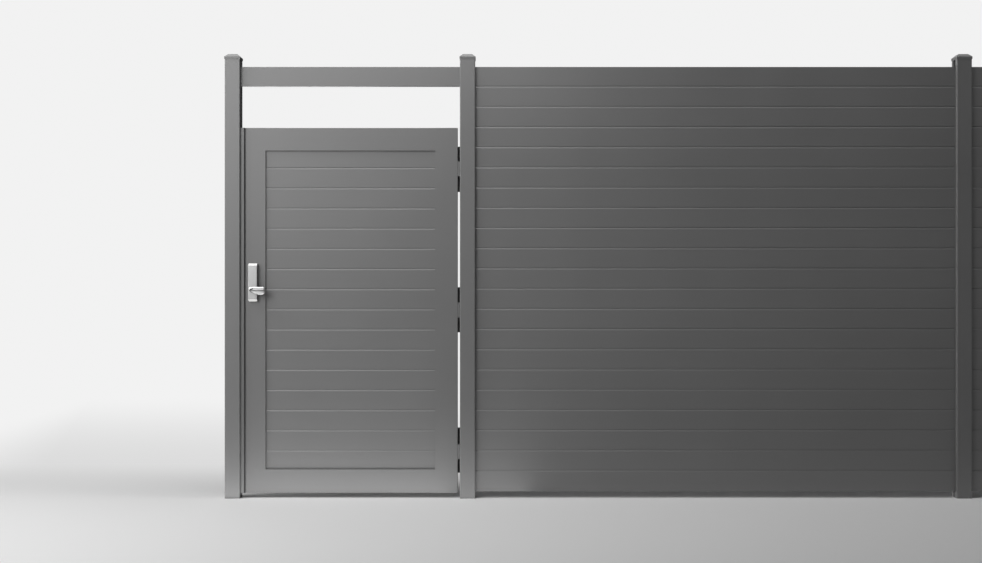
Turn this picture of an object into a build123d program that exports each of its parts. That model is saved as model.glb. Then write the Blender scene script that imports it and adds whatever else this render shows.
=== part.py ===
from build123d import *
import os

# A boarded privacy gate between two posts, with two bays of the same fence beyond it.
# Millimetres. X runs from the latch post towards the fence, Y runs away from the
# viewer and Z is up. The origin is the centre of the hinge post's foot.

# Boards: hollow tongue-and-groove planks laid on edge, one above the other, with a bevelled seam
board_thickness = 25.0
board_pitch = 100.0
board_wall = 2.0
board_bevel_depth = 2.5
board_bevel_height = 8.0
board_seam_rise = 5.8
board_play = 0.3
board_seat = 12.5
board_side_fit = 0.5
tongue_width = 8.0
tongue_height = 6.0
tongue_fit = 0.4

# Posts: square extrusions with a channel in each side that takes boards
post_size = 75.0
post_wall = 2.5
post_corner_radius = 3.0
post_reveal = 44.0
channel_depth = 15.0

# Caps: low pyramids with a flared skirt that drops over the post's end
cap_overhang = 2.5
cap_lip = 1.0
cap_skirt = 9.0
cap_deck = 3.0
cap_rise = 15.0
cap_slope_inset = 17.0
cap_corner_bevel = 2.0
cap_roof = 3.0
cap_fit = 0.3

# Fence bays
fence_bays = 2
fence_clear_width = 2375.0
fence_board_count = 21
fence_ground_gap = 32.0

# Gateway
gate_opening = 1085.0
header_height = 96.0
header_wall = 2.0
header_bevel = 1.0
filler_wall = 2.0
latch_gap = 10.5
hinge_gap = 11.5

# Leaf: a hollow frame with the boards let into channels on its inside
leaf_ground_gap = 24.0
transom_gap = 206.0
leaf_depth = 45.0
leaf_wall = 3.0
leaf_edge_radius = 1.5
stile_width = 112.0
top_rail_height = 112.0
bottom_rail_height = 116.0
stile_channel_depth = 15.0
rail_channel_depth = 13.0
end_plate_thickness = 3.0
infill_head_gap = 4.0
infill_foot_gap = 2.3

# Stop: an angle on the latch post, with a soft seal behind its lip
stop_thickness = 3.0
stop_base_thickness = 2.0
stop_base_depth = 45.0
stop_overlap = 7.0
stop_clearance = 5.0
seal_thickness = 2.0
seal_cover = 10.0
seal_reach = 5.0
strike_thickness = 1.5
strike_width = 22.0
strike_height = 150.0

# Hinges: three knuckles on a vertical pin behind the leaf
hinge_knuckle_height = 74.0
hinge_knuckle_radius = 9.0
hinge_knuckle_gap = 0.4
hinge_pin_radius = 5.0
hinge_pin_fit = 0.05
hinge_pin_head_radius = 8.0
hinge_pin_head_height = 3.0
hinge_axis_behind_post = 6.5
hinge_axis_from_post = 5.75
hinge_plate_thickness = 3.0
hinge_post_plate_width = 42.0
hinge_leaf_plate_width = 46.0
hinge_block_clearance = 1.5
hinge_plate_clearance = 2.25
hinge_inset_low = 204.0
hinge_inset_top = 202.0

# Lock: a case on each side of the latch stile, with a lever on each
lever_height = 1027.0
lock_backset = 53.0
case_width = 44.0
case_height = 188.0
case_depth = 30.0
case_bevel = 12.0
case_wall = 2.5
case_front_wall = 5.0
case_corner_radius = 6.0
case_edge_radius = 2.0
key_cover_width = 6.0
key_cover_height = 28.0
key_cover_rise = 1.5
key_cover_above_lever = 80.0
case_below_lever = 55.5
case_line_width = 1.5
case_line_depth = 1.0
lever_length = 65.0
lever_top = 16.5
lever_drop = 21.5
lever_root_radius = 11.0
lever_belly_radius = 19.0
lever_belly_out = 36.0
lever_nose_radius = 15.0
lever_tip_radius = 9.0
lever_thickness = 14.0
lever_reach = 24.0
lever_round = 4.0
lever_slot_depth = 9.0
lever_slot_drop = 2.5
lever_slot_root_width = 3.5
lever_slot_tip_width = 6.0
lever_crease_length = 20.0
lever_crease_width = 4.5
lever_crease_angle = 31.0
lever_crease_rise = 3.0
neck_radius = 10.0
neck_fit = 0.05
spindle_radius = 4.0
spindle_fit = 0.05
spindle_seat = 18.0
spindle_hole_radius = 7.0
faceplate_thickness = 2.0
faceplate_width = 20.0
faceplate_height = 160.0

# Places that follow from the sizes above
channel_width = board_thickness + 2 * board_side_fit
fence_top = fence_ground_gap + fence_board_count * board_pitch
post_height = fence_top + post_reveal
half_post = post_size / 2
post_spacing = fence_clear_width + post_size
latch_post_x = -(gate_opening + post_size)
latch_face_x = latch_post_x + half_post
header_bottom = fence_top - header_height

leaf_left = latch_face_x + latch_gap
leaf_right = -half_post - hinge_gap
leaf_width = leaf_right - leaf_left
leaf_front = -board_thickness / 2
leaf_back = leaf_front + leaf_depth
leaf_mid_y = (leaf_front + leaf_back) / 2
leaf_bottom = leaf_ground_gap
leaf_top = header_bottom - transom_gap
leaf_height = leaf_top - leaf_bottom
rail_length = leaf_width - 2 * stile_width
infill_bottom = leaf_bottom + bottom_rail_height - rail_channel_depth + infill_foot_gap
infill_top = leaf_top - top_rail_height + rail_channel_depth - infill_head_gap

hinge_axis_x = -half_post - hinge_axis_from_post
hinge_axis_y = half_post + hinge_axis_behind_post
hinge_low_z = leaf_bottom + hinge_inset_low
hinge_top_z = leaf_top - hinge_inset_top
hinge_centres = {"low": hinge_low_z, "mid": (hinge_low_z + hinge_top_z) / 2, "top": hinge_top_z}

lock_x = leaf_left + lock_backset
case_bottom = lever_height - case_below_lever
case_front = leaf_front - case_depth
lever_back = case_front - lever_reach
leaf_mid_plane = Plane(origin=(0, leaf_mid_y, 0), x_dir=(1, 0, 0), z_dir=(0, 1, 0))

os.makedirs("parts", exist_ok=True)


def save(shape, name):
    export_step(shape, f"parts/{name}.step")


def block(low, high):
    """Box between two corners."""
    size = [b - a for a, b in zip(low, high)]
    centre = [(a + b) / 2 for a, b in zip(low, high)]
    return Pos(*centre) * Box(*size)


def rod_y(radius, x, z, y_low, y_high):
    """Round bar or hole along Y."""
    return Pos(x, (y_low + y_high) / 2, z) * Rot(90, 0, 0) * Cylinder(radius, y_high - y_low)


def rod_z(radius, x, y, z_low, z_high):
    """Round bar or hole along Z."""
    return Pos(x, y, (z_low + z_high) / 2) * Cylinder(radius, z_high - z_low)


# Posts and caps


def post_section(left_channel, right_channel):
    """Rounded square tube with a middle web and a lined channel in the sides that take boards."""
    inner = post_size - 2 * post_wall
    inner_radius = max(post_corner_radius - post_wall, 0.5)
    section = RectangleRounded(post_size, post_size, post_corner_radius)
    section -= RectangleRounded(inner, inner, inner_radius)
    section += Rectangle(inner + post_wall, post_wall)
    for side, wanted in ((-1, left_channel), (1, right_channel)):
        if wanted:
            lining_depth = channel_depth + post_wall
            lining_x = side * (half_post - lining_depth / 2)
            section += Pos(lining_x, 0) * Rectangle(lining_depth, channel_width + 2 * post_wall)
            mouth_x = side * (half_post - channel_depth / 2)
            section -= Pos(mouth_x, 0) * Rectangle(channel_depth, channel_width)
    return section


def post(centre_x, left_channel, right_channel):
    return Pos(centre_x, 0, 0) * extrude(post_section(left_channel, right_channel), amount=post_height)


def square_form(half_widths):
    """Solid of square level sections, from pairs of a height and a half width, bottom first."""
    profile = mirrored_face([(half_width, z) for z, half_width in half_widths])
    reach = max(half_width for z, half_width in half_widths)
    along_y = extrude(Plane.XZ * profile, amount=reach, both=True)
    along_x = extrude(Plane.YZ * profile, amount=reach, both=True)
    return along_y & along_x


def post_cap(centre_x):
    """Pyramid cap, hollow inside, resting on the post's end with its skirt round the post."""
    socket_half = half_post + cap_fit
    shoulder_half = half_post + cap_overhang
    skirt_z = post_height - cap_skirt
    shoulder_z = post_height + cap_deck
    top_z = shoulder_z + cap_rise
    cap = square_form(
        [
            (skirt_z, socket_half + cap_lip),
            (shoulder_z, shoulder_half),
            (top_z, shoulder_half - cap_slope_inset),
        ]
    )
    corners = chamfer(Rectangle(2 * shoulder_half, 2 * shoulder_half).vertices(), cap_corner_bevel)
    cap &= Pos(0, 0, skirt_z) * extrude(corners, amount=top_z - skirt_z)
    cap -= block((-socket_half, -socket_half, skirt_z), (socket_half, socket_half, post_height))
    hollow_half = half_post - 2 * post_wall
    cap -= square_form([(post_height, hollow_half), (top_z - cap_roof, hollow_half - cap_slope_inset)])
    return Pos(centre_x, 0, 0) * cap


# Boards


def mirrored_face(right_side):
    """Face between a run of points, given from the bottom up, and its mirror image in x."""
    left_side = [(-x, z) for x, z in reversed(right_side)]
    return make_face(Polyline(right_side + left_side, close=True))


def board_section(height, with_tongue):
    """Hollow plank with a groove underneath. A tongue comes with bevels beside it on top.

    Local x is depth.
    """
    half = board_thickness / 2
    chamber_half = half - board_wall
    top = height - board_play
    groove_half = tongue_width / 2 + tongue_fit
    groove_top = tongue_height + tongue_fit
    right_side = [(groove_half, groove_top), (groove_half, 0), (half, 0)]
    chamber_side = [(chamber_half, groove_top + board_wall)]
    if with_tongue:
        bevel_foot = top - max(board_bevel_height, board_wall)
        right_side += [(half, bevel_foot), (half - board_bevel_depth, top)]
        right_side += [(tongue_width / 2, top), (tongue_width / 2, top + tongue_height)]
        chamber_side += [(chamber_half, bevel_foot), (chamber_half - board_bevel_depth, top - board_wall)]
    else:
        right_side.append((half, top))
        chamber_side.append((chamber_half, top - board_wall))
    return mirrored_face(right_side) - mirrored_face(chamber_side)


def board(x_low, x_high, mid_y, z_low, height, with_tongue):
    section = Plane(origin=(x_low, mid_y, z_low), x_dir=(0, 1, 0), z_dir=(1, 0, 0)) * board_section(
        height, with_tongue
    )
    return extrude(section, amount=x_high - x_low)


def board_stack(x_low, x_high, mid_y, z_low, z_high):
    """Planks from z_low to z_high. The top one is cut to fit and has no tongue."""
    count = max(round((z_high - z_low) / board_pitch), 1)
    seams = [z_low + row * board_pitch + board_seam_rise for row in range(1, count)]
    planks = []
    for bottom, top in zip([z_low] + seams, seams + [z_high]):
        planks.append(board(x_low, x_high, mid_y, bottom, top - bottom, top < z_high))
    return Compound(children=planks)


def fence_panel(left_post_x):
    x_low = left_post_x + half_post - board_seat
    x_high = left_post_x + half_post + fence_clear_width + board_seat
    return board_stack(x_low, x_high, 0, fence_ground_gap, fence_top)


def rest_blocks(left_post_x):
    """The two blocks at the foot of a bay's channels that carry its boards."""
    half = board_thickness / 2
    left_face = left_post_x + half_post
    right_face = left_face + fence_clear_width
    left = block((left_face - board_seat, -half, 0), (left_face, half, fence_ground_gap))
    right = block((right_face, -half, 0), (right_face + board_seat, half, fence_ground_gap))
    return Compound(children=[left, right])


# Gateway


def header_rail():
    """Closed tube across the top of the gateway, let into the two posts' channels."""
    half = board_thickness / 2
    x_low = latch_face_x - board_seat
    x_high = -half_post + board_seat
    outline = Rectangle(board_thickness, header_height)
    outline = chamfer(outline.vertices(), min(header_bevel, header_wall))
    inside = Rectangle(2 * (half - header_wall), header_height - 2 * header_wall)
    middle = header_bottom + header_height / 2
    plane = Plane(origin=(x_low, 0, middle), x_dir=(0, 1, 0), z_dir=(1, 0, 0))
    return extrude(plane * (outline - inside), amount=x_high - x_low)


def slot_filler(face_x, inward):
    """U section that closes a gate-side channel up to the header and carries the header's end."""
    half = board_thickness / 2
    top = header_bottom
    x_back = face_x + inward * board_seat
    x_wall = face_x + inward * filler_wall
    outer = block((min(face_x, x_back), -half, 0), (max(face_x, x_back), half, top))
    inner_half = half - filler_wall
    inner = block((min(x_wall, x_back), -inner_half, 0), (max(x_wall, x_back), inner_half, top))
    return outer - inner


def stop_profile():
    """Angle on the latch post's side. Its lip laps over the front of the leaf's edge."""
    lip_back = leaf_front - stop_clearance - seal_thickness
    lip_front = lip_back - stop_thickness
    lip_tip = leaf_left + stop_overlap
    base_edge = latch_face_x + stop_base_thickness
    lip = block((latch_face_x, lip_front, leaf_bottom), (lip_tip, lip_back, leaf_top))
    base = block((latch_face_x, lip_front, leaf_bottom), (base_edge, lip_front + stop_base_depth, leaf_top))
    return lip + base


def stop_seal():
    """Soft strip behind the lip. It reaches past the lip's edge over the front of the leaf."""
    seal_back = leaf_front - stop_clearance
    lip_tip = leaf_left + stop_overlap
    return block(
        (lip_tip - seal_cover, seal_back - seal_thickness, leaf_bottom),
        (lip_tip + seal_reach, seal_back, leaf_top),
    )


def strike_plate():
    x_low = latch_face_x + stop_base_thickness
    middle = case_bottom + case_height / 2
    y_low = leaf_mid_y - strike_width / 2
    return block(
        (x_low, y_low, middle - strike_height / 2),
        (x_low + strike_thickness, y_low + strike_width, middle + strike_height / 2),
    )


# Leaf


def frame_outline(width):
    """Cross-section of a frame member, rounded on its outer edges, which are on its -x side."""
    corners = Rectangle(width, leaf_depth)
    return fillet(corners.vertices().sort_by(Axis.X)[:2], min(leaf_edge_radius, leaf_wall * 0.9))


def frame_section(width, channel):
    """Hollow frame member with a board channel in its +x side. Local y is the leaf's depth."""
    section = frame_outline(width)
    chamber_width = width - channel - 2 * leaf_wall
    chamber = Rectangle(chamber_width, leaf_depth - 2 * leaf_wall)
    section -= Pos(-width / 2 + leaf_wall + chamber_width / 2, 0) * chamber
    section -= Pos(width / 2 - channel / 2, 0) * Rectangle(channel, channel_width)
    return section


def stile(outer_x, inward):
    """Upright of the leaf. inward is +1 where the boards are on its +x side."""
    section = frame_section(stile_width, stile_channel_depth)
    if inward < 0:
        section = section.mirror(Plane.YZ)
    centre_x = outer_x + inward * stile_width / 2
    length = leaf_height - 2 * end_plate_thickness
    return Pos(centre_x, leaf_mid_y, leaf_bottom + end_plate_thickness) * extrude(section, amount=length)


def rail(middle_z, height, upward):
    """Cross member between the stiles. upward is +1 where the boards are above it."""
    x_low = leaf_left + stile_width
    plane = Plane(origin=(x_low, leaf_mid_y, middle_z), x_dir=(0, 0, upward), z_dir=(1, 0, 0))
    return extrude(plane * frame_section(height, rail_channel_depth), amount=rail_length)


def latch_stile():
    """Latch-side upright, bored for the spindle and let in for the lock's faceplate."""
    upright = stile(leaf_left, 1)
    upright -= rod_y(spindle_hole_radius, lock_x, lever_height, leaf_front, leaf_back)
    return upright - faceplate_solid()


def faceplate_solid():
    middle = case_bottom + case_height / 2
    return block(
        (leaf_left, leaf_mid_y - faceplate_width / 2, middle - faceplate_height / 2),
        (leaf_left + faceplate_thickness, leaf_mid_y + faceplate_width / 2, middle + faceplate_height / 2),
    )


def stile_end_plates():
    """Closing plates on both ends of both stiles."""
    outline = frame_outline(stile_width)
    left_x = leaf_left + stile_width / 2
    right_x = leaf_right - stile_width / 2
    plates = []
    for centre_x, section in ((left_x, outline), (right_x, outline.mirror(Plane.YZ))):
        for z_low in (leaf_bottom, leaf_top - end_plate_thickness):
            plates.append(Pos(centre_x, leaf_mid_y, z_low) * extrude(section, amount=end_plate_thickness))
    return Compound(children=plates)


def infill_boards():
    x_low = leaf_left + stile_width - board_seat
    x_high = leaf_right - stile_width + board_seat
    return board_stack(x_low, x_high, leaf_mid_y, infill_bottom, infill_top)


# Hinges


def hinge_bracket(centre_z):
    """Post side of a hinge: a plate on the back of the post with an upper and a lower knuckle."""
    inner = hinge_knuckle_height / 2
    outer = inner + hinge_knuckle_height
    plate_left = hinge_axis_x + hinge_knuckle_radius + hinge_plate_clearance
    plate_back = half_post + hinge_plate_thickness
    bracket = block(
        (plate_left, half_post, centre_z - outer),
        (plate_left + hinge_post_plate_width, plate_back, centre_z + outer),
    )
    for low, high in ((centre_z - outer, centre_z - inner), (centre_z + inner, centre_z + outer)):
        bracket += block((hinge_axis_x, half_post, low), (plate_left, plate_back, high))
        bracket += rod_z(hinge_knuckle_radius, hinge_axis_x, hinge_axis_y, low, high)
    return bracket - hinge_bore(centre_z)


def hinge_bore(centre_z):
    outer = 1.5 * hinge_knuckle_height
    radius = hinge_pin_radius + hinge_pin_fit
    return rod_z(radius, hinge_axis_x, hinge_axis_y, centre_z - outer, centre_z + outer)


def leaf_hinge(centre_z):
    """Leaf side of a hinge: middle knuckle, plate on the leaf's back and a block in the gap."""
    half_height = hinge_knuckle_height / 2 - hinge_knuckle_gap
    low = centre_z - half_height
    high = centre_z + half_height
    plate_left = leaf_right - hinge_leaf_plate_width
    knuckle = rod_z(hinge_knuckle_radius, hinge_axis_x, hinge_axis_y, low, high)
    plate = block((plate_left, leaf_back, low), (hinge_axis_x, leaf_back + hinge_plate_thickness, high))
    gap_block = block(
        (leaf_right, leaf_front, low),
        (-half_post - hinge_block_clearance, hinge_axis_y - hinge_knuckle_radius * 0.6, high),
    )
    return knuckle + plate + gap_block - hinge_bore(centre_z)


def hinge_pin(centre_z):
    outer = 1.5 * hinge_knuckle_height
    shank = rod_z(hinge_pin_radius, hinge_axis_x, hinge_axis_y, centre_z - outer, centre_z + outer)
    head_top = centre_z + outer + hinge_pin_head_height
    head = rod_z(hinge_pin_head_radius, hinge_axis_x, hinge_axis_y, centre_z + outer, head_top)
    return shank + head


# Lock


def end_slope(edge_z, outward):
    """Wedge that is cut off one end of the case. outward is +1 at the top and -1 at the bottom."""
    profile = Polyline(
        [
            (case_front, edge_z - outward * case_bevel),
            (case_front, edge_z),
            (case_front + case_bevel, edge_z),
        ],
        close=True,
    )
    plane = Plane(origin=(lock_x - case_width / 2, 0, 0), x_dir=(0, 1, 0), z_dir=(1, 0, 0))
    return extrude(plane * make_face(profile), amount=case_width)


def lock_case():
    """Front lock case: a shell open towards the leaf, sloped at both ends, bored for the lever."""
    middle = case_bottom + case_height / 2
    plane = Plane(origin=(lock_x, leaf_front, middle), x_dir=(1, 0, 0), z_dir=(0, -1, 0))
    case = extrude(plane * RectangleRounded(case_width, case_height, case_corner_radius), amount=case_depth)
    front_edges = case.faces().sort_by(Axis.Y)[0].edges().filter_by(Axis.Z)
    case = fillet(front_edges, min(case_edge_radius, case_wall * 0.9))
    case -= end_slope(case_bottom + case_height, 1)
    case -= end_slope(case_bottom, -1)
    half_inside = case_width / 2 - case_wall
    case -= block(
        (lock_x - half_inside, case_front + case_front_wall, case_bottom + case_bevel),
        (lock_x + half_inside, leaf_front, case_bottom + case_height - case_bevel),
    )
    case -= rod_y(neck_radius + neck_fit, lock_x, lever_height, case_front, case_front + case_front_wall)
    for line_z in (case_bottom + case_bevel, case_bottom + case_height - case_bevel):
        case -= block(
            (lock_x - case_width / 2, case_front, line_z - case_line_width / 2),
            (lock_x + case_width / 2, case_front + case_line_depth, line_z + case_line_width / 2),
        )
    cover_plane = Plane(
        origin=(lock_x, case_front, lever_height + key_cover_above_lever), x_dir=(1, 0, 0), z_dir=(0, -1, 0)
    )
    cover = RectangleRounded(key_cover_width, key_cover_height, key_cover_width * 0.49)
    return case + extrude(cover_plane * cover, amount=key_cover_rise)


def lever_outline():
    """Front view of the grip: straight on top, bellied below, round at the root and the end."""
    root = Pos(0, lever_top - lever_root_radius) * Circle(lever_root_radius)
    belly = Pos(lever_belly_out, lever_belly_radius - lever_drop) * Circle(lever_belly_radius)
    nose = Pos(lever_length - lever_nose_radius, lever_nose_radius - lever_drop) * Circle(lever_nose_radius)
    tip = Pos(lever_length - lever_tip_radius, lever_top - lever_tip_radius) * Circle(lever_tip_radius)
    return make_hull(root.edges() + belly.edges() + nose.edges() + tip.edges())


def lever_slot():
    """Slot along the front of the grip, wider at its open end, with a slanting crease at the hub."""
    half_root = lever_slot_root_width / 2
    half_tip = lever_slot_tip_width / 2
    slot = make_face(
        Polyline(
            [
                (0, -lever_slot_drop - half_root),
                (lever_length, -lever_slot_drop - half_tip),
                (lever_length, -lever_slot_drop + half_tip),
                (0, -lever_slot_drop + half_root),
            ],
            close=True,
        )
    )
    crease = Pos(0, lever_crease_rise) * Rot(0, 0, lever_crease_angle) * Rectangle(
        lever_crease_length, lever_crease_width
    )
    return slot + crease


def lever():
    """Front lever: a round neck in the case and a flat grip, bevelled and slotted in front."""
    plane = Plane(origin=(lock_x, lever_back, lever_height), x_dir=(1, 0, 0), z_dir=(0, -1, 0))
    grip = extrude(plane * lever_outline(), amount=lever_thickness)
    front_edges = grip.faces().sort_by(Axis.Y)[0].edges()
    grip = chamfer(front_edges, min(lever_round, lever_thickness * 0.45))
    slot_start = lever_thickness - min(lever_slot_depth, lever_thickness * 0.8)
    grip -= extrude(plane.offset(slot_start) * lever_slot(), amount=lever_thickness)
    neck_end = case_front + case_front_wall
    neck = rod_y(neck_radius, lock_x, lever_height, lever_back, neck_end)
    socket = rod_y(spindle_radius + spindle_fit, lock_x, lever_height, neck_end - spindle_seat, neck_end)
    return grip + neck - socket


def lever_spindle():
    """Round bar through the stile that joins the two levers."""
    front_end = case_front + case_front_wall - spindle_seat + board_play
    back_end = 2 * leaf_mid_y - front_end
    return rod_y(spindle_radius, lock_x, lever_height, front_end, back_end)


# Write the pieces

post_centres = {"latch_post": latch_post_x, "hinge_post": 0.0}
fence_posts = ["line_post", "end_post"]
for bay in range(fence_bays):
    post_centres[fence_posts[bay] if bay < len(fence_posts) else f"fence_post_{bay + 1}"] = (
        bay + 1
    ) * post_spacing

last_post = list(post_centres)[-1]
for name, centre_x in post_centres.items():
    save(post(centre_x, name != "latch_post", name != last_post), name)
    save(post_cap(centre_x), f"{name}_cap")

bay_names = ["near", "far"]
for bay in range(fence_bays):
    label = bay_names[bay] if bay < len(bay_names) else f"bay_{bay + 1}"
    save(fence_panel(bay * post_spacing), f"fence_panel_{label}")
    save(rest_blocks(bay * post_spacing), f"rest_blocks_{label}")

save(header_rail(), "header_rail")
save(slot_filler(latch_face_x, -1), "latch_slot_filler")
save(slot_filler(-half_post, 1), "hinge_slot_filler")
save(stop_profile(), "stop_profile")
save(stop_seal(), "stop_seal")
save(strike_plate(), "strike_plate")

save(latch_stile(), "latch_stile")
save(stile(leaf_right, -1), "hinge_stile")
save(rail(leaf_top - top_rail_height / 2, top_rail_height, -1), "top_rail")
save(rail(leaf_bottom + bottom_rail_height / 2, bottom_rail_height, 1), "bottom_rail")
save(stile_end_plates(), "stile_end_plates")
save(infill_boards(), "infill_boards")
save(faceplate_solid(), "lock_faceplate")

for label, centre_z in hinge_centres.items():
    save(hinge_bracket(centre_z), f"hinge_bracket_{label}")
    save(leaf_hinge(centre_z), f"leaf_hinge_{label}")
    save(hinge_pin(centre_z), f"hinge_pin_{label}")

front_case = lock_case()
front_lever = lever()
save(front_case, "lock_case_front")
save(front_case.mirror(leaf_mid_plane), "lock_case_rear")
save(front_lever, "lever_front")
save(front_lever.mirror(leaf_mid_plane), "lever_rear")
save(lever_spindle(), "lever_spindle")
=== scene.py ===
"""Looks of a boarded privacy gate between capped posts, with the same fence beyond it.

Lengths are in metres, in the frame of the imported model: X from the latch post towards the
fence, Y away from the viewer, Z up, and the origin at the centre of the hinge post's foot.
"""

import logging
import math
from dataclasses import dataclass
from enum import Enum

import bpy
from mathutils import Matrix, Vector


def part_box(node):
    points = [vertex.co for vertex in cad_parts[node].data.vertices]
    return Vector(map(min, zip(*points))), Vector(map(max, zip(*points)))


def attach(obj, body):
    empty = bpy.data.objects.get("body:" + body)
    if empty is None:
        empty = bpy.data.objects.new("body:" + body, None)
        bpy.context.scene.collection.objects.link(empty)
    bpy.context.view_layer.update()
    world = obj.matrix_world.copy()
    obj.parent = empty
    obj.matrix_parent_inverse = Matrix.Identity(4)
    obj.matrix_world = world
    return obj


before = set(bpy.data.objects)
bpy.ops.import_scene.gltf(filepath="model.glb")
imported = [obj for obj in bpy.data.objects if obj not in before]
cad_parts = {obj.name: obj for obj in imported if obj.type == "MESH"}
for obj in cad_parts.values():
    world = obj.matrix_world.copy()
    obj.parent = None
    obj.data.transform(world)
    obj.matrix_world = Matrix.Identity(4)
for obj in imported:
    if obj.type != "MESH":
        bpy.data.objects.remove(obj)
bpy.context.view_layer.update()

log = logging.getLogger("gate")

MM = 0.001

Colour = tuple[float, float, float]
Point = tuple[float, float, float]
Span = tuple[float, float]


def grey(level: float) -> Colour:
    """A neutral colour of one level."""
    return (level, level, level)


def shaded(colour: Colour, factor: float) -> Colour:
    """A colour made darker or lighter by a factor."""
    return tuple(part * factor for part in colour)


class Maths:
    """One output socket of a shader tree, with arithmetic that adds Math nodes."""

    def __init__(self, tree: "ShaderTree", socket: bpy.types.NodeSocket) -> None:
        """Wrap a socket of the given tree."""
        self.tree = tree
        self.socket = socket

    def _join(self, operation: str, first: object, second: object) -> "Maths":
        """Add one Math node with the two operands in order."""
        return self.tree.node("ShaderNodeMath", {"operation": operation}, {0: first, 1: second})

    def __add__(self, other: object) -> "Maths":
        """Sum."""
        return self._join("ADD", self, other)

    __radd__ = __add__

    def __mul__(self, other: object) -> "Maths":
        """Product."""
        return self._join("MULTIPLY", self, other)

    __rmul__ = __mul__

    def __sub__(self, other: object) -> "Maths":
        """Difference."""
        return self._join("SUBTRACT", self, other)

    def __rsub__(self, other: object) -> "Maths":
        """Difference from a plain value."""
        return self._join("SUBTRACT", other, self)

    def larger(self, other: object) -> "Maths":
        """The larger of the two."""
        return self._join("MAXIMUM", self, other)

    def size(self) -> "Maths":
        """The value without its sign."""
        return self._join("ABSOLUTE", self, 0.0)


class ShaderTree:
    """Builds the nodes of a material or a world."""

    def __init__(self, owner: bpy.types.Material | bpy.types.World) -> None:
        """Start with an empty tree.

        Args:
            owner: What the tree belongs to.
        """
        owner.use_nodes = True
        self.nodes = owner.node_tree.nodes
        self.links = owner.node_tree.links
        self.nodes.clear()

    def node(self, kind: str, settings: dict | None = None, inputs: dict | None = None,
             output: int | str = 0) -> Maths | None:
        """Add a node.

        Args:
            kind: The node's type.
            settings: Properties of the node, set before its sockets.
            inputs: Values or links by socket name or number.
            output: The output socket that is returned.

        Returns:
            The chosen output, ready for arithmetic, or nothing where the node has no output.
        """
        made = self.nodes.new(kind)
        for key, value in (settings or {}).items():
            setattr(made, key, value)
        for key, value in (inputs or {}).items():
            if isinstance(value, Maths):
                self.links.new(value.socket, made.inputs[key])
            else:
                made.inputs[key].default_value = value
        return Maths(self, made.outputs[output]) if made.outputs else None

    def place(self, stretch: Point = (1.0, 1.0, 1.0)) -> Maths:
        """Object coordinates, stretched along the axes."""
        coordinates = self.node("ShaderNodeTexCoord", output="Object")
        return self.node("ShaderNodeMapping", inputs={"Vector": coordinates, "Scale": stretch})

    def noise(self, where: Maths, size: float, detail: float = 2.0) -> Maths:
        """Add noise from 0 to 1.

        Args:
            where: The coordinates that it reads.
            size: About how large its features are, in metres.
            detail: How many finer layers it has.

        Returns:
            The noise's value.
        """
        return self.node("ShaderNodeTexNoise", inputs={
            "Vector": where, "Scale": 1.0 / size, "Detail": detail, "Roughness": 0.5,
        }, output="Fac")

    def blend(self, factor: object, first: "Colour | Maths", second: "Colour | Maths") -> Maths:
        """Mix two colours.

        Args:
            factor: 0 for the first colour and 1 for the second.
            first: A colour or a socket.
            second: A colour or a socket.

        Returns:
            The mixed colour.
        """
        ends = [colour if isinstance(colour, Maths) else (*colour, 1.0) for colour in (first, second)]
        return self.node("ShaderNodeMix", {"data_type": "RGBA"}, {
            "Factor": factor, 6: ends[0], 7: ends[1],
        }, output=2)

    def ramp(self, value: Maths, low: float, high: float) -> Maths:
        """Add a smooth step.

        Args:
            value: The value that it follows.
            low: Where the step is 0, which may lie above the other end.
            high: Where it is 1.

        Returns:
            The step's value.
        """
        return self.node("ShaderNodeMapRange", {"interpolation_type": "SMOOTHSTEP"}, {
            "Value": value, "From Min": low, "From Max": high,
        })

    def split(self, vector: Maths, axis: str) -> Maths:
        """One component of a vector."""
        return self.node("ShaderNodeSeparateXYZ", inputs={0: vector}, output=axis)

    def seen(self) -> Maths:
        """Tell what is looked at from what only lights.

        Returns:
            1 for rays from the camera, in gloss and through glass, else 0.
        """
        camera, gloss, glass = [
            self.node("ShaderNodeLightPath", output=f"Is {kind} Ray")
            for kind in ("Camera", "Glossy", "Transmission")
        ]
        return camera.larger(gloss).larger(glass)

    def relief(self, height: Maths, depth: float) -> Maths:
        """Bump from a height between 0 and 1, depth metres tall."""
        return self.node("ShaderNodeBump", inputs={"Height": height, "Distance": depth})

    def surface(self, inputs: dict) -> None:
        """Finish a material with one principled shader."""
        shader = self.node("ShaderNodeBsdfPrincipled", inputs=inputs)
        self.node("ShaderNodeOutputMaterial", inputs={"Surface": shader})


@dataclass(frozen=True)
class PowderCoat:
    """Satin powder coat: fine orange peel, and slow drifts of tone and gloss."""

    name: str
    colour: Colour
    roughness: float = 0.5
    metallic: float = 0.0
    tone_drift: float = 0.05
    gloss_drift: float = 0.05
    drift_size: float = 0.35
    speck_size: float = 0.8 * MM
    speck_share: float = 0.2
    peel_size: float = 1.6 * MM
    peel_depth: float = 0.012 * MM

    def build(self) -> bpy.types.Material:
        """Make the material.

        Returns:
            The finished coat.
        """
        material = bpy.data.materials.new(self.name)
        tree = ShaderTree(material)
        place = tree.place()
        drift = tree.noise(place, self.drift_size)
        speck = tree.noise(place, self.speck_size, 1.0)
        peel = tree.noise(place, self.peel_size)
        mottle = drift * (1 - self.speck_share) + speck * self.speck_share
        darker, lighter = shaded(self.colour, 1 - self.tone_drift), shaded(self.colour, 1 + self.tone_drift)
        tree.surface({
            "Base Color": tree.blend(mottle, darker, lighter),
            "Metallic": self.metallic,
            "Roughness": drift * self.gloss_drift + (self.roughness - self.gloss_drift / 2),
            "Normal": tree.relief(peel, self.peel_depth),
        })
        return material


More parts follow.
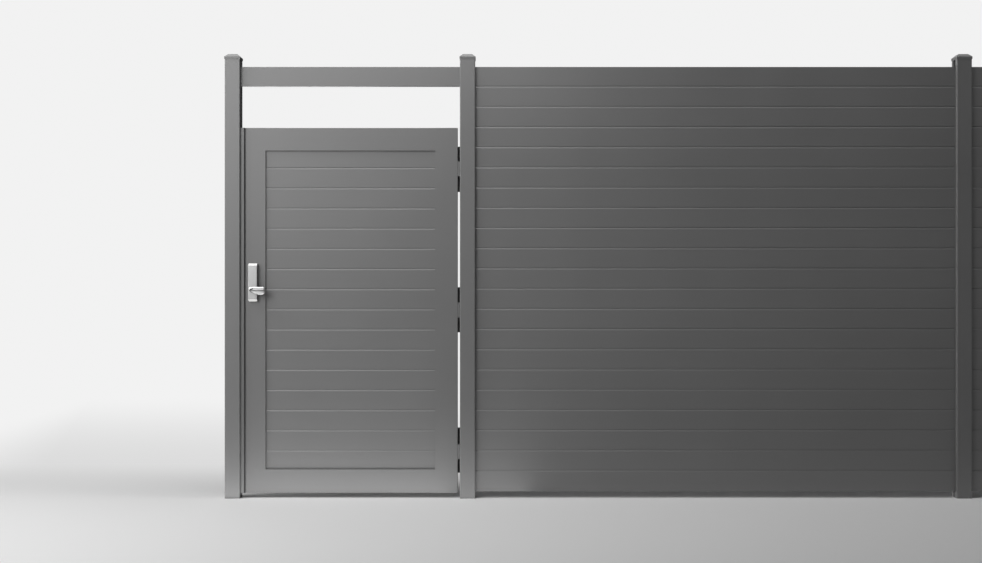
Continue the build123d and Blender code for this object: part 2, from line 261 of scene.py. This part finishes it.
@dataclass(frozen=True)
class BrushedMetal:
    """Metal with fine brush lines along one axis."""

    name: str
    colour: Colour
    roughness: float
    line_size: float = 0.25 * MM
    line_stretch: float = 60.0
    line_axis: int = 2
    line_share: float = 0.6
    line_gloss: float = 0.1
    line_depth: float = 0.006 * MM
    smear_size: float = 0.03
    smear_gloss: float = 0.06
    dark_level: float = 0.86

    def tint(self, tree: ShaderTree, colour: Maths) -> Maths:
        """Last change to the colour, which a plain finish doesn't need."""
        return colour

    def build(self) -> bpy.types.Material:
        """Make the material.

        Returns:
            The finished metal.
        """
        material = bpy.data.materials.new(self.name)
        tree = ShaderTree(material)
        stretch = [1.0, 1.0, 1.0]
        stretch[self.line_axis] = 1.0 / self.line_stretch
        lines = tree.noise(tree.place(tuple(stretch)), self.line_size, 3.0)
        smear = tree.noise(tree.place(), self.smear_size, 3.0)
        streaks = lines * self.line_share + smear * (1 - self.line_share)
        gloss_middle = (self.line_gloss + self.smear_gloss) / 2
        tree.surface({
            "Base Color": self.tint(
                tree, tree.blend(streaks, shaded(self.colour, self.dark_level), self.colour)),
            "Metallic": 1.0,
            "Roughness": lines * self.line_gloss + smear * self.smear_gloss + (self.roughness - gloss_middle),
            "Normal": tree.relief(lines, self.line_depth),
        })
        return material


@dataclass(frozen=True)
class GripMetal(BrushedMetal):
    """Brushed metal of a pair of levers, with painted shade on their slots' floors and a painted dark shadow
    in the notch at the hub.
    """

    node: str = "lever_front"
    other_node: str = "lever_rear"
    spindle: str = "lever_spindle"
    # Painted shade: the colour of surfaces that lie deep in the levers' slots and necks.
    painted_slot_shade: Colour = (0.12, 0.12, 0.12)
    # Painted shadow: the very dark colour at the hub and in its notch.
    painted_hub_shadow: Colour = (0.015, 0.015, 0.015)
    unshaded_depth: float = 4.5 * MM
    slot_depth: float = 7.0 * MM
    hub_reach: float = 9 * MM
    hub_fade: float = 16 * MM
    notch_middle: tuple[float, float] = (-5.0 * MM, 1.8 * MM)
    notch_slope: float = 0.52
    notch_reach: Span = (10 * MM, 8 * MM)
    notch_width: Span = (3.8 * MM, 1.9 * MM)

    def tint(self, tree: ShaderTree, colour: Maths) -> Maths:
        """Paint shade on the slots' floors, which lie deep behind the levers' fronts, and a dark shadow in
        the notch.

        Args:
            tree: The material's tree.
            colour: The brushed metal's colour.

        Returns:
            The colour with the painted shade and shadow in it.
        """
        front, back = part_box(self.node)[0].y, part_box(self.other_node)[1].y
        low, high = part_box(self.spindle)
        place = tree.node("ShaderNodeTexCoord", output="Object")
        out_from_middle = (tree.split(place, "Y") - (front + back) / 2).size()
        across = tree.split(place, "X") - (low.x + high.x) / 2
        up = tree.split(place, "Z") - (low.z + high.z) / 2
        reach = (back - front) / 2
        # Painted shade: surfaces deep towards the levers' middle plane darken, to very dark close to the hub.
        unshaded = tree.ramp(out_from_middle, reach - self.slot_depth, reach - self.unshaded_depth)
        painted_recess_shade = tree.blend(tree.ramp(across.size(), self.hub_reach, self.hub_fade), self.painted_hub_shadow, self.painted_slot_shade)
        middle_x, middle_z = self.notch_middle
        along = across - middle_x
        aside = up - middle_z - along * self.notch_slope
        # Painted shadow: a very dark stripe along the notch at the hub.
        notch = tree.ramp(aside.size(), *self.notch_width) * tree.ramp(along.size(), *self.notch_reach)
        return tree.blend(notch, tree.blend(unshaded, painted_recess_shade, colour), self.painted_hub_shadow)


@dataclass(frozen=True)
class PlateMetal(BrushedMetal):
    """Brushed metal of a lock case, with a painted highlight on the bevel at each end."""

    node: str = "lock_case_front"
    # Painted highlight: the lighter colour of the bevels at the case's top and foot.
    painted_bevel_highlight: Colour = (0.5, 0.5, 0.49)
    bevel: float = 11.2 * MM
    bevel_blur: float = 0.3 * MM

    def tint(self, tree: ShaderTree, colour: Maths) -> Maths:
        """Paint a highlight on the bevels at both ends.

        Args:
            tree: The material's tree.
            colour: The brushed metal's colour.

        Returns:
            The colour with the painted highlights on the ends in it.
        """
        low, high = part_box(self.node)
        height = tree.split(tree.node("ShaderNodeTexCoord", output="Object"), "Z")
        reach = (high.z - low.z) / 2 - self.bevel
        # Painted highlight: the bevels at both ends take the lighter colour.
        end = tree.ramp((height - (low.z + high.z) / 2).size(), reach, reach + self.bevel_blur)
        return tree.blend(end, colour, self.painted_bevel_highlight)


@dataclass(frozen=True)
class SoftBlack:
    """Rubber or moulded plastic with a fine grain."""

    name: str
    colour: Colour
    roughness: float
    grain: float = 0.7 * MM
    grain_depth: float = 0.02 * MM
    grain_gloss: float = 0.12
    bloom_size: float = 0.05
    bloom_gain: float = 1.5

    def build(self) -> bpy.types.Material:
        """Make the material.

        Returns:
            The finished rubber or plastic.
        """
        material = bpy.data.materials.new(self.name)
        tree = ShaderTree(material)
        place = tree.place()
        bloom = tree.noise(place, self.bloom_size, 3.0)
        grain = tree.noise(place, self.grain)
        tree.surface({
            "Base Color": tree.blend(bloom, self.colour, shaded(self.colour, self.bloom_gain)),
            "Roughness": grain * self.grain_gloss + (self.roughness - self.grain_gloss / 2),
            "Normal": tree.relief(grain, self.grain_depth),
        })
        return material


class Finish(Enum):
    """The finishes of the gate and fence."""

    COAT = PowderCoat("grey_powder_coat", grey(0.15), roughness=0.5, metallic=0.6)
    BLACK = PowderCoat("black_powder_coat", grey(0.012), roughness=0.5)
    NICKEL = PlateMetal("satin_nickel", grey(0.43), 0.36)
    LEVER = GripMetal("fine_nickel", grey(0.56), 0.34, line_axis=0)
    STEEL = BrushedMetal("stainless_steel", grey(0.5), 0.36)
    RUBBER = SoftBlack("black_rubber", grey(0.012), 0.75)
    PLASTIC = SoftBlack("black_plastic", grey(0.02), 0.55, grain=0.4 * MM)


class Paintbox:
    """Makes each finish once and hands it out."""

    def __init__(self) -> None:
        """Build every finish."""
        self.materials = {finish: finish.value.build() for finish in Finish}

    def dress_node(self, node: str, finish: Finish) -> None:
        """Give a carried-over node its finish.

        Args:
            node: The node's name in the frame.
            finish: What covers it.
        """
        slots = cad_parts[node].material_slots
        for slot in slots:
            slot.material = self.materials[finish]
        if not slots:
            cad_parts[node].data.materials.append(self.materials[finish])
        log.info("%s: %s", node, self.materials[finish].name)

    def dress_nodes(self, nodes: tuple[str, ...], finish: Finish) -> None:
        """Give several carried-over nodes one finish."""
        for node in nodes:
            self.dress_node(node, finish)


class Facing(Enum):
    """Which way a screw's head looks, as a turn of an upright screw."""

    BACK = (-math.pi / 2, 0.0, 0.0)
    LEFT = (0.0, -math.pi / 2, 0.0)
    RIGHT = (0.0, math.pi / 2, 0.0)


@dataclass(frozen=True)
class ScrewTree:
    """Geometry Nodes tree that sets a socket-head screw on every point of a mesh."""

    name: str = "screw_heads"
    sides: int = 20
    key_sides: int = 6
    top_share: float = 0.78
    key_share: float = 0.42
    key_rise: float = 0.75

    def build(self) -> bpy.types.GeometryNodeTree:
        """Make the tree with inputs Radius, Height, Turn and Material.

        Returns:
            The tree, whose one output is the screws with their material.
        """
        tree = bpy.data.node_groups.new(self.name, "GeometryNodeTree")
        tree.is_modifier = True
        face = tree.interface
        face.new_socket("Points", in_out="INPUT", socket_type="NodeSocketGeometry")
        for label in ("Radius", "Height"):
            face.new_socket(label, in_out="INPUT", socket_type="NodeSocketFloat")
        face.new_socket("Turn", in_out="INPUT", socket_type="NodeSocketVector")
        face.new_socket("Material", in_out="INPUT", socket_type="NodeSocketMaterial")
        face.new_socket("Screws", in_out="OUTPUT", socket_type="NodeSocketGeometry")
        new, link = tree.nodes.new, tree.links.new

        def scaled(source: bpy.types.NodeSocket, factor: float) -> bpy.types.NodeSocket:
            """Multiply a socket by a number.

            Args:
                source: The socket.
                factor: The number.

            Returns:
                The product's socket.
            """
            product = new("ShaderNodeMath")
            product.operation = "MULTIPLY"
            product.inputs[1].default_value = factor
            link(source, product.inputs[0])
            return product.outputs[0]

        def lifted(mesh: bpy.types.NodeSocket, height: bpy.types.NodeSocket) -> bpy.types.NodeSocket:
            """Move a mesh up.

            Args:
                mesh: The mesh's socket.
                height: The socket that says how far.

            Returns:
                The moved mesh's socket.
            """
            offset = new("ShaderNodeCombineXYZ")
            link(height, offset.inputs["Z"])
            move = new("GeometryNodeTransform")
            link(mesh, move.inputs["Geometry"])
            link(offset.outputs[0], move.inputs["Translation"])
            return move.outputs[0]

        inputs = new("NodeGroupInput")
        radius, height = inputs.outputs["Radius"], inputs.outputs["Height"]
        head = new("GeometryNodeMeshCone")
        head.inputs["Vertices"].default_value = self.sides
        link(radius, head.inputs["Radius Bottom"])
        link(scaled(radius, self.top_share), head.inputs["Radius Top"])
        link(height, head.inputs["Depth"])
        key = new("GeometryNodeMeshCylinder")
        key.inputs["Vertices"].default_value = self.key_sides
        link(scaled(radius, self.key_share), key.inputs["Radius"])
        link(height, key.inputs["Depth"])
        cut = new("GeometryNodeMeshBoolean")
        cut.operation = "DIFFERENCE"
        link(head.outputs["Mesh"], cut.inputs["Mesh 1"])
        link(lifted(key.outputs["Mesh"], scaled(height, self.key_rise)), cut.inputs["Mesh 2"])
        turn = new("FunctionNodeEulerToRotation")
        link(inputs.outputs["Turn"], turn.inputs[0])
        spread = new("GeometryNodeInstanceOnPoints")
        link(inputs.outputs["Points"], spread.inputs["Points"])
        link(cut.outputs["Mesh"], spread.inputs["Instance"])
        link(turn.outputs[0], spread.inputs["Rotation"])
        real = new("GeometryNodeRealizeInstances")
        link(spread.outputs[0], real.inputs[0])
        paint = new("GeometryNodeSetMaterial")
        link(real.outputs[0], paint.inputs["Geometry"])
        link(inputs.outputs["Material"], paint.inputs["Material"])
        output = new("NodeGroupOutput")
        link(paint.outputs[0], output.inputs[0])
        return tree


@dataclass
class ScrewSet:
    """Screws of one size that look one way on one body."""

    name: str
    body: str
    facing: Facing
    radius: float
    height: float
    points: list[Point]
    slot: str

    def build(self, tree: bpy.types.GeometryNodeTree, material: bpy.types.Material) -> bpy.types.Object:
        """Make the screws as one plain mesh that rides on the body.

        Args:
            tree: The tree that ScrewTree makes.
            material: The screws' finish.

        Returns:
            The finished piece.
        """
        cloud = bpy.data.meshes.new(f"{self.name}_points")
        cloud.from_pydata(self.points, [], [])
        maker = bpy.data.objects.new(f"{self.name}_maker", cloud)
        bpy.context.scene.collection.objects.link(maker)
        modifier = maker.modifiers.new("screws", "NODES")
        modifier.node_group = tree
        values = {
            "Radius": self.radius, "Height": self.height, "Turn": self.facing.value, "Material": material,
        }
        for item in tree.interface.items_tree:
            if item.in_out == "INPUT" and item.name in values:
                modifier[item.identifier] = values[item.name]
        ready = maker.evaluated_get(bpy.context.evaluated_depsgraph_get())
        mesh = bpy.data.meshes.new_from_object(ready)
        bpy.data.objects.remove(maker)
        mesh.name = self.name
        if not mesh.materials:
            mesh.materials.append(material)
        piece = bpy.data.objects.new(self.name, mesh)
        bpy.context.scene.collection.objects.link(piece)
        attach(piece, self.body)
        log.info("%s: %d screws, %d faces", self.name, len(self.points), len(mesh.polygons))
        return piece


def column(x: float, y: float, heights: list[float]) -> list[Point]:
    """Points one above the other."""
    return [(x, y, z) for z in heights]


@dataclass
class Fence:
    """Posts, caps and boards, the header and what fills the posts' channels."""

    posts: tuple[str, ...] = ("latch_post", "hinge_post", "line_post", "end_post")
    boards: tuple[str, ...] = ("fence_panel_near", "fence_panel_far", "header_rail")
    fillers: tuple[str, ...] = ("latch_slot_filler", "hinge_slot_filler")
    blocks: tuple[str, ...] = ("rest_blocks_near", "rest_blocks_far")

    def dress(self, paint: Paintbox) -> None:
        """Finish every piece.

        Args:
            paint: The finishes.
        """
        paint.dress_nodes(self.posts, Finish.COAT)
        paint.dress_nodes(tuple(f"{post}_cap" for post in self.posts), Finish.COAT)
        paint.dress_nodes(self.boards + self.fillers, Finish.COAT)
        paint.dress_nodes(self.blocks, Finish.PLASTIC)


@dataclass
class Stop:
    """The angle that the leaf closes against, with its seal, its strike and the strike's screws."""

    screw_radius: float = 4.2 * MM
    screw_height: float = 1.6 * MM
    strike_screw_inset: float = 12 * MM

    def dress(self, paint: Paintbox) -> None:
        """Finish the carried-over pieces.

        Args:
            paint: The finishes.
        """
        paint.dress_node("stop_profile", Finish.COAT)
        paint.dress_node("stop_seal", Finish.RUBBER)
        paint.dress_node("strike_plate", Finish.STEEL)

    def build(self, tree: bpy.types.GeometryNodeTree, paint: Paintbox) -> None:
        """Add the two screws that hold the strike.

        Args:
            tree: The tree that ScrewTree makes.
            paint: The finishes.
        """
        low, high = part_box("strike_plate")
        inset = self.strike_screw_inset
        heights = [low.z + inset, high.z - inset]
        ScrewSet("strike_screws", "fixed_frame", Facing.RIGHT, self.screw_radius, self.screw_height,
                 column(high.x, (low.y + high.y) / 2, heights), "plate_steel",
                 ).build(tree, paint.materials[Finish.STEEL])


@dataclass
class Leaf:
    """The gate leaf's frame and boards."""

    frame_nodes: tuple[str, ...] = (
        "latch_stile", "hinge_stile", "top_rail", "bottom_rail", "stile_end_plates", "infill_boards",
    )

    def dress(self, paint: Paintbox) -> None:
        """Finish every piece."""
        paint.dress_nodes(self.frame_nodes, Finish.COAT)


@dataclass
class Hinges:
    """Three hinges, with the screws in their plates."""

    places: tuple[str, ...] = ("low", "mid", "top")
    screw_radius: float = 5.5 * MM
    screw_height: float = 3.0 * MM
    post_plate_rows: int = 4
    leaf_plate_rows: int = 2
    leaf_plate_columns: tuple[float, ...] = (13 * MM, 28.6 * MM)
    plate_inset: float = 13 * MM
    plate_thickness: float = 3 * MM

    def dress(self, paint: Paintbox) -> None:
        """Finish the carried-over pieces.

        Args:
            paint: The finishes.
        """
        for place in self.places:
            paint.dress_node(f"hinge_bracket_{place}", Finish.BLACK)
            paint.dress_node(f"leaf_hinge_{place}", Finish.COAT)
            paint.dress_node(f"hinge_pin_{place}", Finish.STEEL)

    def rows(self, low: float, high: float, count: int) -> list[float]:
        """Spread screws evenly up a plate.

        Args:
            low: The plate's foot.
            high: Its top.
            count: How many screws stand one above the other.

        Returns:
            The screws' heights.
        """
        step = (high - low - 2 * self.plate_inset) / (count - 1)
        return [low + self.plate_inset + step * row for row in range(count)]

    def build(self, tree: bpy.types.GeometryNodeTree, paint: Paintbox) -> None:
        """Screw the plates to the back of the post and of the leaf.

        Args:
            tree: The tree that ScrewTree makes.
            paint: The finishes.
        """
        post_points: list[Point] = []
        leaf_points: list[Point] = []
        above_plate = self.plate_thickness + self.screw_height / 2
        post_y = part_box("hinge_post")[1].y + above_plate
        leaf_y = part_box("hinge_stile")[1].y + above_plate
        for place in self.places:
            low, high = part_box(f"hinge_bracket_{place}")
            heights = self.rows(low.z, high.z, self.post_plate_rows)
            post_points += column(high.x - self.plate_inset, post_y, heights)
            low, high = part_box(f"leaf_hinge_{place}")
            heights = self.rows(low.z, high.z, self.leaf_plate_rows)
            for inset in self.leaf_plate_columns:
                leaf_points += column(low.x + inset, leaf_y, heights)
        for name, body, points, slot, finish in (
            ("hinge_post_screws", "fixed_frame", post_points, "hinge_black", Finish.BLACK),
            ("hinge_leaf_screws", "gate_leaf", leaf_points, "leaf_coat", Finish.STEEL),
        ):
            ScrewSet(name, body, Facing.BACK, self.screw_radius, self.screw_height, points, slot,
                     ).build(tree, paint.materials[finish])


@dataclass
class Lock:
    """Lock cases, levers and the plate on the leaf's edge."""

    screw_radius: float = 3.4 * MM
    screw_height: float = 1.2 * MM
    faceplate_screw_inset: float = 10 * MM

    def dress(self, paint: Paintbox) -> None:
        """Finish the carried-over pieces.

        Args:
            paint: The finishes.
        """
        paint.dress_nodes(("lock_case_front", "lock_case_rear"), Finish.NICKEL)
        paint.dress_nodes(("lever_front", "lever_rear"), Finish.LEVER)
        paint.dress_nodes(("lever_spindle", "lock_faceplate"), Finish.STEEL)

    def build(self, tree: bpy.types.GeometryNodeTree, paint: Paintbox) -> None:
        """Add the two screws of the plate on the leaf's edge.

        Args:
            tree: The tree that ScrewTree makes.
            paint: The finishes.
        """
        low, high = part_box("lock_faceplate")
        heights = [low.z + self.faceplate_screw_inset, high.z - self.faceplate_screw_inset]
        ScrewSet("faceplate_screws", "gate_leaf", Facing.LEFT, self.screw_radius, self.screw_height,
                 column(low.x, (low.y + high.y) / 2, heights), "plate_steel",
                 ).build(tree, paint.materials[Finish.STEEL])


@dataclass(frozen=True)
class Lamp:
    """A rectangular soft lamp that the camera doesn't see."""

    name: str
    place: Point
    aim: Point
    size: tuple[float, float]
    watts: float

    def build(self) -> None:
        """Hang the lamp."""
        data = bpy.data.lights.new(self.name, "AREA")
        data.shape = "RECTANGLE"
        data.size, data.size_y = self.size
        data.energy = self.watts
        lamp = bpy.data.objects.new(self.name, data)
        bpy.context.scene.collection.objects.link(lamp)
        lamp.location = self.place
        lamp.rotation_mode = "QUATERNION"
        lamp.rotation_quaternion = (Vector(self.aim) - Vector(self.place)).to_track_quat("-Z", "Y")
        lamp.visible_camera = False


@dataclass
class Studio:
    """Pale floor, soft lamps, world and camera.

    Each gloss is how bright one side of the room is in reflections, and its span is where that side
    begins and where it is in full, as a component of the direction looked in.
    """

    camera_place: Point = (0.116, -6.7615, 1.070)
    camera_reach: float = 200.0
    lens_mm: float = 50.0
    sensor_mm: float = 36.0
    wall_level: float = 0.887
    wall_gloss: float = 0.01
    wall_span: Span = (-0.2, 0.4)
    roof_gloss: float = 3.0
    roof_span: Span = (0.65, 1.0)
    high_gloss: float = 1.5
    high_span: Span = (0.27, 0.5)
    dark_right_span: Span = (0.27, 0.04)
    left_gloss: float = 6.0
    left_span: Span = (-0.7, -0.95)
    room_gloss: float = 0.01
    ambient: float = 0.01
    floor_level: float = 0.8
    floor_half_width: float = 30.0
    floor_front: float = -16.0
    floor_back: float = 6.0
    floor_seen: float = 0.71
    fade_back: Span = (0.1, 1.3)
    fade_far: Span = (0.65, 6.0)
    fade_front: Span = (-1.7, -4.5)
    fade_left: Span = (-2.35, -3.6)
    fade_right: Span = (5.0, 6.6)
    lamps: tuple[Lamp, ...] = (
        Lamp("key", (-2.9, -4.9, 2.9), (-0.5, 0.0, 1.0), (2.6, 2.6), 132.0),
        Lamp("left_overhead", (-3.5, -0.9, 3.8), (-3.3, -0.5, 0.0), (2.4, 1.4), 114.0),
        Lamp("right_overhead", (2.0, -0.5, 3.6), (2.0, -0.5, 0.0), (4.0, 0.7), 22.0),
        Lamp("far_overhead", (5.0, -0.5, 3.6), (5.0, -0.5, 0.0), (1.6, 0.7), 13.0),
        Lamp("header_strip", (-0.3, -1.4, 2.9), (-0.4, 0.0, 2.0), (1.6, 0.4), 9.0),
        Lamp("left_bounce", (-1.0, -0.29, 0.004), (-1.0, -0.28, 1.0), (2.6, 0.5), 5.5),
        Lamp("foot_bounce", (-1.2, -0.16, 0.004), (-1.2, -0.15, 1.0), (2.2, 0.22), 1.9),
        Lamp("right_bounce", (1.3, -0.34, 0.004), (1.3, -0.33, 1.0), (4.6, 0.6), 2.0),
        Lamp("back_fill", (-2.4, 5.5, 0.75), (2.2, 0.0, 0.75), (3.6, 1.3), 100.0),
    )

    def build(self) -> None:
        """Make everything around the object."""
        self.make_world()
        self.make_floor()
        for lamp in self.lamps:
            lamp.build()
        self.make_camera()
        bpy.context.scene.view_settings.view_transform = "Standard"

    def make_world(self) -> None:
        """Pale wall for the camera, a room of bright and dark sides in gloss, and a low even light."""
        world = bpy.data.worlds.new("studio_world")
        bpy.context.scene.world = world
        tree = ShaderTree(world)
        direction = tree.node("ShaderNodeTexCoord", output="Generated")
        behind = tree.ramp(tree.split(direction, "Y"), *self.wall_span) * self.wall_gloss
        across = tree.split(direction, "X")
        up = tree.split(direction, "Z")
        roof = tree.ramp(up, *self.roof_span) * self.roof_gloss
        above = roof + tree.ramp(up, *self.high_span) * self.high_gloss
        left = tree.ramp(across, *self.left_span) * self.left_gloss
        above_left = above * tree.ramp(across, *self.dark_right_span)
        bright = behind.larger(above_left).larger(left) + self.room_gloss
        camera = tree.node("ShaderNodeLightPath", output="Is Camera Ray")
        wall = tree.node("ShaderNodeBackground", inputs={
            "Color": (*grey(self.wall_level), 1.0), "Strength": camera + (1.0 - camera) * bright,
        })
        light = tree.node("ShaderNodeBackground", inputs={"Color": (1, 1, 1, 1), "Strength": self.ambient})
        shader = tree.node("ShaderNodeMixShader", inputs={0: tree.seen(), 1: light, 2: wall})
        tree.node("ShaderNodeOutputWorld", inputs={"Surface": shader})

    def make_floor(self) -> None:
        """Plain pale floor that fades into the wall's colour on every side of the object."""
        half, front, back = self.floor_half_width, self.floor_front, self.floor_back
        corners = [(-half, front, 0), (half, front, 0), (half, back, 0), (-half, back, 0)]
        mesh = bpy.data.meshes.new("studio_floor")
        mesh.from_pydata(corners, [], [(0, 1, 2, 3)])
        floor = bpy.data.objects.new("studio_floor", mesh)
        bpy.context.scene.collection.objects.link(floor)
        material = bpy.data.materials.new("studio_floor")
        tree = ShaderTree(material)
        place = tree.node("ShaderNodeTexCoord", output="Object")
        depth, across = tree.split(place, "Y"), tree.split(place, "X")
        around = tree.ramp(depth, *self.fade_front).larger(
            tree.ramp(across, *self.fade_left)).larger(tree.ramp(across, *self.fade_right))
        fade = tree.ramp(depth, *self.fade_back).larger(around) * tree.seen()
        matt = tree.node("ShaderNodeBsdfDiffuse", inputs={"Color": (*grey(self.floor_level), 1.0)})
        far = tree.ramp(depth, *self.fade_far).larger(around)
        wall = tree.node("ShaderNodeEmission", inputs={
            "Color": tree.blend(far, grey(self.floor_seen), grey(self.wall_level)), "Strength": 1.0,
        })
        surface = tree.node("ShaderNodeMixShader", inputs={0: fade, 1: matt, 2: wall})
        tree.node("ShaderNodeOutputMaterial", inputs={"Surface": surface})
        mesh.materials.append(material)

    def make_camera(self) -> None:
        """Level camera at the photograph's place."""
        data = bpy.data.cameras.new("camera")
        data.lens, data.sensor_width = self.lens_mm, self.sensor_mm
        data.clip_end = self.camera_reach
        camera = bpy.data.objects.new("camera", data)
        bpy.context.scene.collection.objects.link(camera)
        camera.location = self.camera_place
        camera.rotation_euler = (math.pi / 2, 0.0, 0.0)
        bpy.context.scene.camera = camera


def main() -> None:
    """Dress the model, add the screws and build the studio."""
    paint = Paintbox()
    screws = ScrewTree().build()
    stop, hinges, lock = Stop(), Hinges(), Lock()
    for part in (Fence(), stop, Leaf(), hinges, lock):
        part.dress(paint)
    for part in (stop, hinges, lock):
        part.build(screws, paint)
    Studio().build()


if __name__ == "__main__":
    logging.basicConfig(level=logging.INFO, format="%(name)s: %(message)s")
    main()
